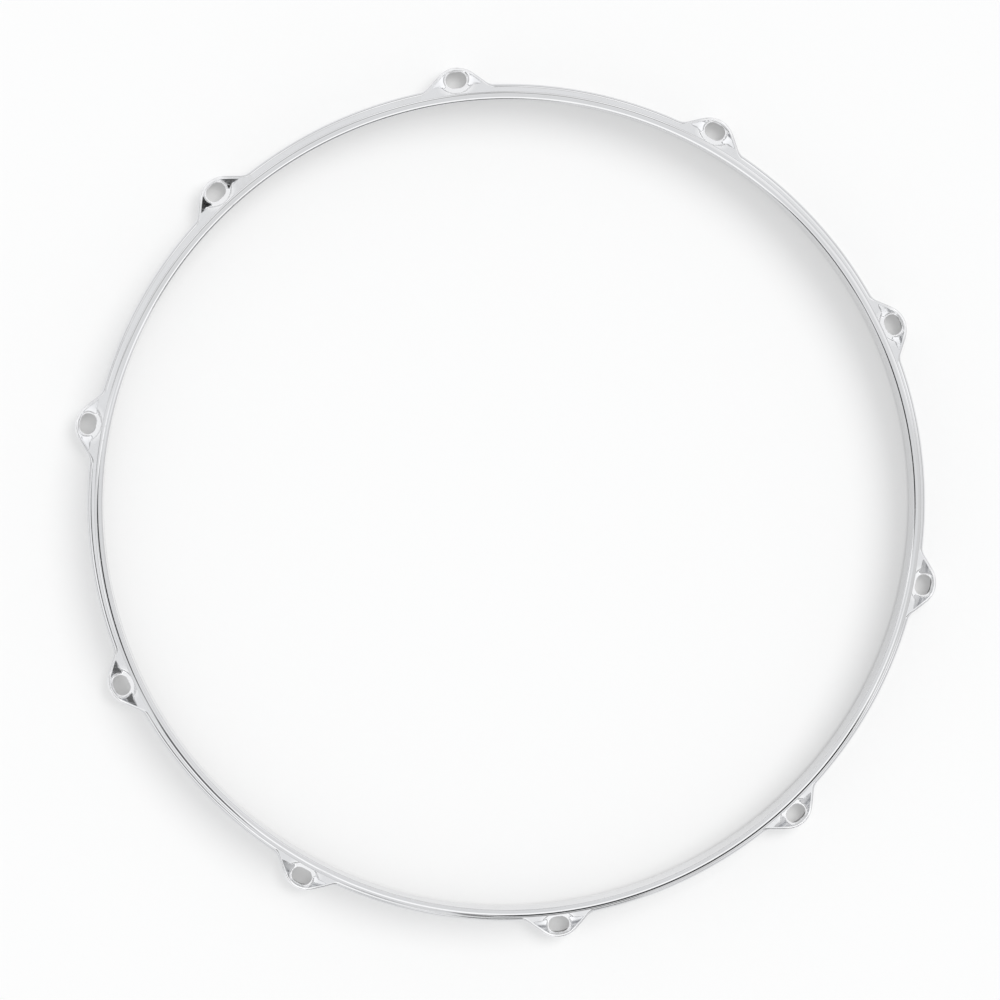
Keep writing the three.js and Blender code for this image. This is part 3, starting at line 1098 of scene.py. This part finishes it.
def make_station_tree():
    tree, given = new_tree("Set a copy round the ring", "Geometry", [
        ("Master", "Geometry"), ("Count", "Int", 10), ("Station", "Int", 0),
        ("Material", "Material"),
    ], [("Copy", "Geometry")])
    points = made(tree, "GeometryNodePoints", Count=given["Count"], Radius=MM)
    index = made(tree, "GeometryNodeInputIndex")
    here = made(
        tree, "FunctionNodeCompare", {"data_type": "INT", "operation": "EQUAL"},
        i2=index, i3=given["Station"],
    )
    pitch = maths(tree, "DIVIDE", 2 * math.pi, given["Count"])
    turn = made(tree, "ShaderNodeCombineXYZ", Z=maths(tree, "MULTIPLY", index, pitch))
    placed = made(
        tree, "GeometryNodeInstanceOnPoints",
        Points=points, Selection=here, Instance=given["Master"], Rotation=turn,
    )
    end_shape(tree, placed, given["Material"])
    return tree


station_tree = make_station_tree()
ear_skins = []
for number in range(EAR_COUNT):
    skin = run_tree(
        f"ear_skin_{number + 1:02d}", ear_mesh, station_tree,
        Count=EAR_COUNT, Station=number, Material=ear_chrome,
    )
    ear_skins.append(skin)
print("ears:", len(ear_skins), "faces in each:", len(ear_skins[0].data.polygons))

# %% [markdown]
# ## Each skin takes its solid's place
#
# A skin rides on the hoop's one body and hides the solid that it stands for. The solids
# stay in the model, where they carry the weight and the contact.

# %% Ride and replace, and measure how far each skin passes its box
dressed = [(rim_skin, "top_rim"), (wall_skin, "hoop_wall")]
for number in range(EAR_COUNT):
    label = f"{number + 1:02d}"
    dressed.append((span_skins[number], "flange_span_" + label))
    dressed.append((ear_skins[number], "ear_" + label))

for skin, node in dressed:
    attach(skin, "root")
    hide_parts(node)
    low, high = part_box(node)
    corners = [Vector(c) for c in skin.bound_box]
    worst = max(
        max(low[i] - min(c[i] for c in corners), max(c[i] for c in corners) - high[i]) for i in range(3)
    )
    print(skin.name, "passes the box of", node, "by", round(worst / MM, 2), "mm")

# %% [markdown]
# ## The table
#
# The hoop lies on a white table that runs on past the view. A mirror shows what it stands
# on, so the table's white fills the lower bends of the chrome. Part of the table's white is
# a plain glow that only camera and mirror rays see, and it lightens the hoop's shadow. Under
# the flange and the ears, where little light gets in, that share is smaller, so the table
# there is darker: painted shade, seen through the holes and below the wall. The rest is lit,
# and keeps the hoop's soft shadow.

# %% White of the table
TABLE_HALF = 14.0
TABLE_GAP = 0.05 * MM
CARD_WHITES = ((0.972, 0.974, 0.974), (0.982, 0.984, 0.984))  # the card is a little mottled
MOTTLE_SCALE = 6.0
TABLE_WHITE = 0.98  # brightness of its glow
GLOW_SHARE = 0.45
# A smaller glow under the hoop darkens the table there: painted shade.
GLOW_SHARE_IN_SHADE = 0.27
PAINTED_SHADE_EDGE = 1.2 * MM  # over which the one share turns into the other
EAR_COSINES = (0.84, 0.95)  # of ten times the angle from an ear: where its cover begins and is full


def grey(brightness):
    return (brightness, brightness, brightness)


def painted_shade_under_hoop(tree):
    """A mask of the table under the flange and the ears, where it gets painted shade."""
    hoop = placed_group(tree, directions_group)
    parts = add(tree, "ShaderNodeSeparateXYZ", i0=hoop["Round"]).outputs
    angle = maths(tree, "ARCTAN2", parts["Y"], parts["X"])
    wave = maths(tree, "COSINE", maths(tree, "MULTIPLY", angle, EAR_COUNT))
    ear = eased(tree, wave, *EAR_COSINES)
    reach = ear_box[1].x - SKIRT_OUTSIDE
    rim = maths(tree, "MULTIPLY_ADD", ear, reach, SKIRT_OUTSIDE - SHEET / 2)
    past_wall = eased(tree, hoop["Radius"], WALL_INSIDE, WALL_INSIDE + PAINTED_SHADE_EDGE)
    short_of_rim = eased(tree, maths(tree, "SUBTRACT", rim, hoop["Radius"]), 0.0, PAINTED_SHADE_EDGE)
    return maths(tree, "MULTIPLY", past_wall, short_of_rim)


def mirror_or_camera(tree):
    """One for the rays that show a thing to the camera, straight or in a mirror."""
    path = add(tree, "ShaderNodeLightPath").outputs
    seen = maths(tree, "MAXIMUM", path["Is Camera Ray"], path["Is Glossy Ray"])
    return maths(tree, "MAXIMUM", seen, path["Is Transmission Ray"])


def make_table_material():
    material = bpy.data.materials.new("table_white")
    tree = empty_nodes(material)
    mottle = noise(tree, object_place(tree), MOTTLE_SCALE, Detail=4.0)
    colour = mix_colour(tree, mottle, *CARD_WHITES)
    lit = made(tree, "ShaderNodeBsdfPrincipled", Base_Color=colour, Roughness=0.9)
    glow = made(tree, "ShaderNodeEmission", Color=(*grey(TABLE_WHITE), 1), Strength=1.0)
    lost = GLOW_SHARE - GLOW_SHARE_IN_SHADE
    share = maths(tree, "MULTIPLY_ADD", painted_shade_under_hoop(tree), -lost, GLOW_SHARE)
    share = maths(tree, "MULTIPLY", share, mirror_or_camera(tree))
    both = made(tree, "ShaderNodeMixShader", i0=share, i1=lit, i2=glow)
    add(tree, "ShaderNodeOutputMaterial", Surface=both)
    return material


# %% Lay the table
table_mesh = bpy.data.meshes.new("table")
around = ((-1, -1), (1, -1), (1, 1), (-1, 1))
table_corners = [(x * TABLE_HALF, y * TABLE_HALF, -TABLE_GAP) for x, y in around]
table_mesh.from_pydata(table_corners, [], [(0, 1, 2, 3)])
table_mesh.materials.append(make_table_material())
table = put_in_scene("table", table_mesh)
table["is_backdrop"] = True
print("table:", round(2 * TABLE_HALF), "m wide,", round(TABLE_GAP / MM, 2), "mm under the hoop")

# %% [markdown]
# ## The camera
#
# The photograph was taken from almost straight above, through a long lens. The ears and
# the strip of inner wall that shows on one side fix how far the camera leans. The three
# angles turn the hoop into the camera's view, and the camera gets the opposite turn.

# %% Camera
CAMERA_DISTANCE = 2.0
LEAN_X = math.radians(3.09)
LEAN_Y = math.radians(2.43)
VIEW_TURN = math.radians(11.05)
OFF_CENTRE = Vector((3.24 * MM, -1.71 * MM, 0))
SENSOR = 36.0
IMAGE_SIZE = 1000
PIXELS_PER_METRE = 2193

camera_data = bpy.data.cameras.new("camera")
camera_data.sensor_width = SENSOR
camera_data.lens = SENSOR * PIXELS_PER_METRE * CAMERA_DISTANCE / IMAGE_SIZE
camera = put_in_scene("camera", camera_data)
camera.rotation_euler = (-LEAN_X, -LEAN_Y, VIEW_TURN)
turned = camera.rotation_euler.to_matrix()
camera.location = turned @ (Vector((0, 0, CAMERA_DISTANCE)) - OFF_CENTRE)
bpy.context.scene.camera = camera
print("lens", round(camera_data.lens, 1), "mm, camera at", [round(v, 3) for v in camera.location])

# %% [markdown]
# ## The light
#
# The room is a white tent, so light comes from everywhere, and a wide soft lamp from the
# upper right adds a direction. Between them, a level sheet of white paper would render white.

# %% Lamp
KEY_AZIMUTH = VIEW_TURN + math.radians(38)
KEY_ELEVATION = math.radians(57)
KEY_SHARE = 0.4  # of the light on a level surface
KEY_SPREAD = math.radians(36)
KEY_COLOUR = (1.0, 0.995, 0.985)
WHITE_SUN = math.pi / math.sin(KEY_ELEVATION)  # the strength at which white paper renders white

key_data = bpy.data.lights.new("soft_key", "SUN")
key_data.energy = KEY_SHARE * WHITE_SUN
key_data.angle = KEY_SPREAD
key_data.color = KEY_COLOUR
key = put_in_scene("soft_key", key_data)
key.rotation_euler = (0, math.pi / 2 - KEY_ELEVATION, KEY_AZIMUTH)
key.visible_glossy = False
print("lamp:", round(key_data.energy, 2), "of", round(WHITE_SUN, 2), "that would render white")

# %% [markdown]
# What the chrome shows is the rest of the room. The tent is white, greyer towards the
# ceiling and low down, and dimmer on one side. Its slits and openings, and the things in it,
# are soft patches and level bands by direction. In the narrow bends of the hoop each of them
# becomes a thin dark or bright line, and in the flat wings of the ears one even shade. Real
# panels would do as well, but they would hide the hoop in other views. Only mirror and camera
# rays see the patches, so the light on the table stays even.

# %% What is in the room
ROOM_LIGHT = (0.61, 0.615, 0.62)
TENT = (0.96, 0.96, 0.965)
CEILING = (0.9, 0.903, 0.91)
NEAR_TABLE = (0.45, 0.45, 0.46)
CEILING_FROM = (0.1, 0.6)  # sines of the elevations between which one shade turns into the next
NEAR_TABLE_UP_TO = (0.4, 0.1)
SIDES_UP_TO = (0.97, 0.85)
TENT_SIDES = ((110, 1.0), (335, 0.82))  # azimuth and brightness of its lit and its dim side
SIDE_WIDTH = (25, 85)  # full within and gone at so many degrees
ROOM_PATCHES = (
    # azimuth and elevation, full within and gone at so many degrees, brightness
    (278, 24, 8, 20, 1.1),  # lit panels
    (314, 34, 6, 14, 1.0),
    (30, 50, 8, 22, 1.1),
    (332, 38, 3, 7, 1.4),  # small lamps
    (69, 43.5, 3, 7, 1.4),
    (11, 36.5, 3, 7, 1.4),
    (103, 41.5, 3, 7, 1.4),
    (50.5, 36, 3, 7, 1.4),
    (138.5, 39, 3, 7, 1.4),
    (127.5, 39.5, 3, 7, 1.35),
    (216, 36, 3, 7, 1.3),
    (196.5, 44, 3, 7, 1.3),
    (229, 44, 3, 7, 1.4),
    (90, 37.5, 2.5, 4.5, 0.02),  # black clips of the tent
    (177, 37, 2.5, 4.5, 0.02),
    (163, 42, 2.5, 4.5, 0.15),  # grey tapes
    (255, 36.5, 2.5, 4.5, 0.15),
    (295, 39, 3, 6, 0.7),
    (37, 44, 3, 5, 0.85),
    (261.5, 42.5, 2, 4, 0.85),
    (4, 43, 3, 5, 0.85),
)
ROOM_BANDS = (
    # azimuth, full within and gone at so many degrees, four elevations, brightness
    (255, 72, 90, (62, 65, 78, 82), 1.3),  # bright lining above the slits
    (110, 46, 56, (46, 49, 55, 58), 0.5),  # grey seam
    (300, 25, 29, (46, 49, 62, 65), 0.01),  # slits in the tent's roof
    (203, 12, 21, (62, 65, 78, 81), 0.05),
    (269, 1.0, 3.0, (26, 31, 55, 59), 0.25),  # post
    (280, 9, 12, (24, 27, 38, 41), 0.03),  # openings
    (229, 8, 11, (51, 55, 72, 76), 0.15),
)
print("patches and bands in the room:", len(ROOM_PATCHES), len(ROOM_BANDS))

# %% Directions in the room


def towards(azimuth, elevation):
    """A direction given in degrees: round from the right of the picture, and above the table."""
    turn = VIEW_TURN + math.radians(azimuth)
    rise = math.radians(elevation)
    return (math.cos(turn) * math.cos(rise), math.sin(turn) * math.cos(rise), math.sin(rise))


def near(tree, direction, target, core, edge):
    """A round mask about a target direction, full within core degrees and gone at edge degrees."""
    facing = vector_maths(tree, "DOT_PRODUCT", direction, target, output="Value")
    return eased(tree, facing, math.cos(math.radians(edge)), math.cos(math.radians(core)))


def band(tree, height, low, full_low, full_high, high):
    """A mask between two elevations in degrees, soft at both sides."""
    rise, set_in, fade, gone = [math.sin(math.radians(v)) for v in (low, full_low, full_high, high)]
    return maths(tree, "MULTIPLY", eased(tree, height, rise, set_in), eased(tree, height, gone, fade))


# %% Paint the room
world = bpy.data.worlds.new("white_tent")
bpy.context.scene.world = world
sky = empty_nodes(world)
direction = add(sky, "ShaderNodeTexCoord").outputs["Generated"]
height = add(sky, "ShaderNodeSeparateXYZ", i0=direction).outputs["Z"]
side = vector_maths(sky, "NORMALIZE", vector_maths(sky, "MULTIPLY", direction, (1, 1, 0)))


def on_side(azimuth, core, edge, part):
    """A mask by height, kept towards one side only."""
    return maths(sky, "MULTIPLY", near(sky, side, towards(azimuth, 0), core, edge), part)


room = mix_colour(sky, eased(sky, height, *CEILING_FROM), TENT, CEILING)
for azimuth, brightness in TENT_SIDES:
    mask = on_side(azimuth, *SIDE_WIDTH, eased(sky, height, *SIDES_UP_TO))
    room = mix_colour(sky, mask, room, grey(brightness))
room = mix_colour(sky, eased(sky, height, *NEAR_TABLE_UP_TO), room, NEAR_TABLE)
for azimuth, elevation, core, edge, brightness in ROOM_PATCHES:
    mask = near(sky, direction, towards(azimuth, elevation), core, edge)
    room = mix_colour(sky, mask, room, grey(brightness))
for azimuth, core, edge, elevations, brightness in ROOM_BANDS:
    mask = on_side(azimuth, core, edge, band(sky, height, *elevations))
    room = mix_colour(sky, mask, room, grey(brightness))
light = made(sky, "ShaderNodeBackground", Color=(*ROOM_LIGHT, 1))
shown = made(sky, "ShaderNodeBackground", Color=room)
tent = made(sky, "ShaderNodeMixShader", i0=mirror_or_camera(sky), i1=light, i2=shown)
add(sky, "ShaderNodeOutputWorld", Surface=tent)
print("nodes in the room:", len(sky.nodes))

# %% [markdown]
# ## Finish
#
# Colours are shown as they are, without a film look, and the two boxes are kept, so that a
# size that slips is noticed.

# %% Finish
bpy.context.scene.view_settings.view_transform = "Standard"

seen_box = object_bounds()
sizes = {"cad": [list(corner) for corner in cad_box], "visual": [list(corner) for corner in seen_box]}
for label, box in sizes.items():
    print(label, "box in mm:", [round(value / MM, 2) for corner in box for value in corner])
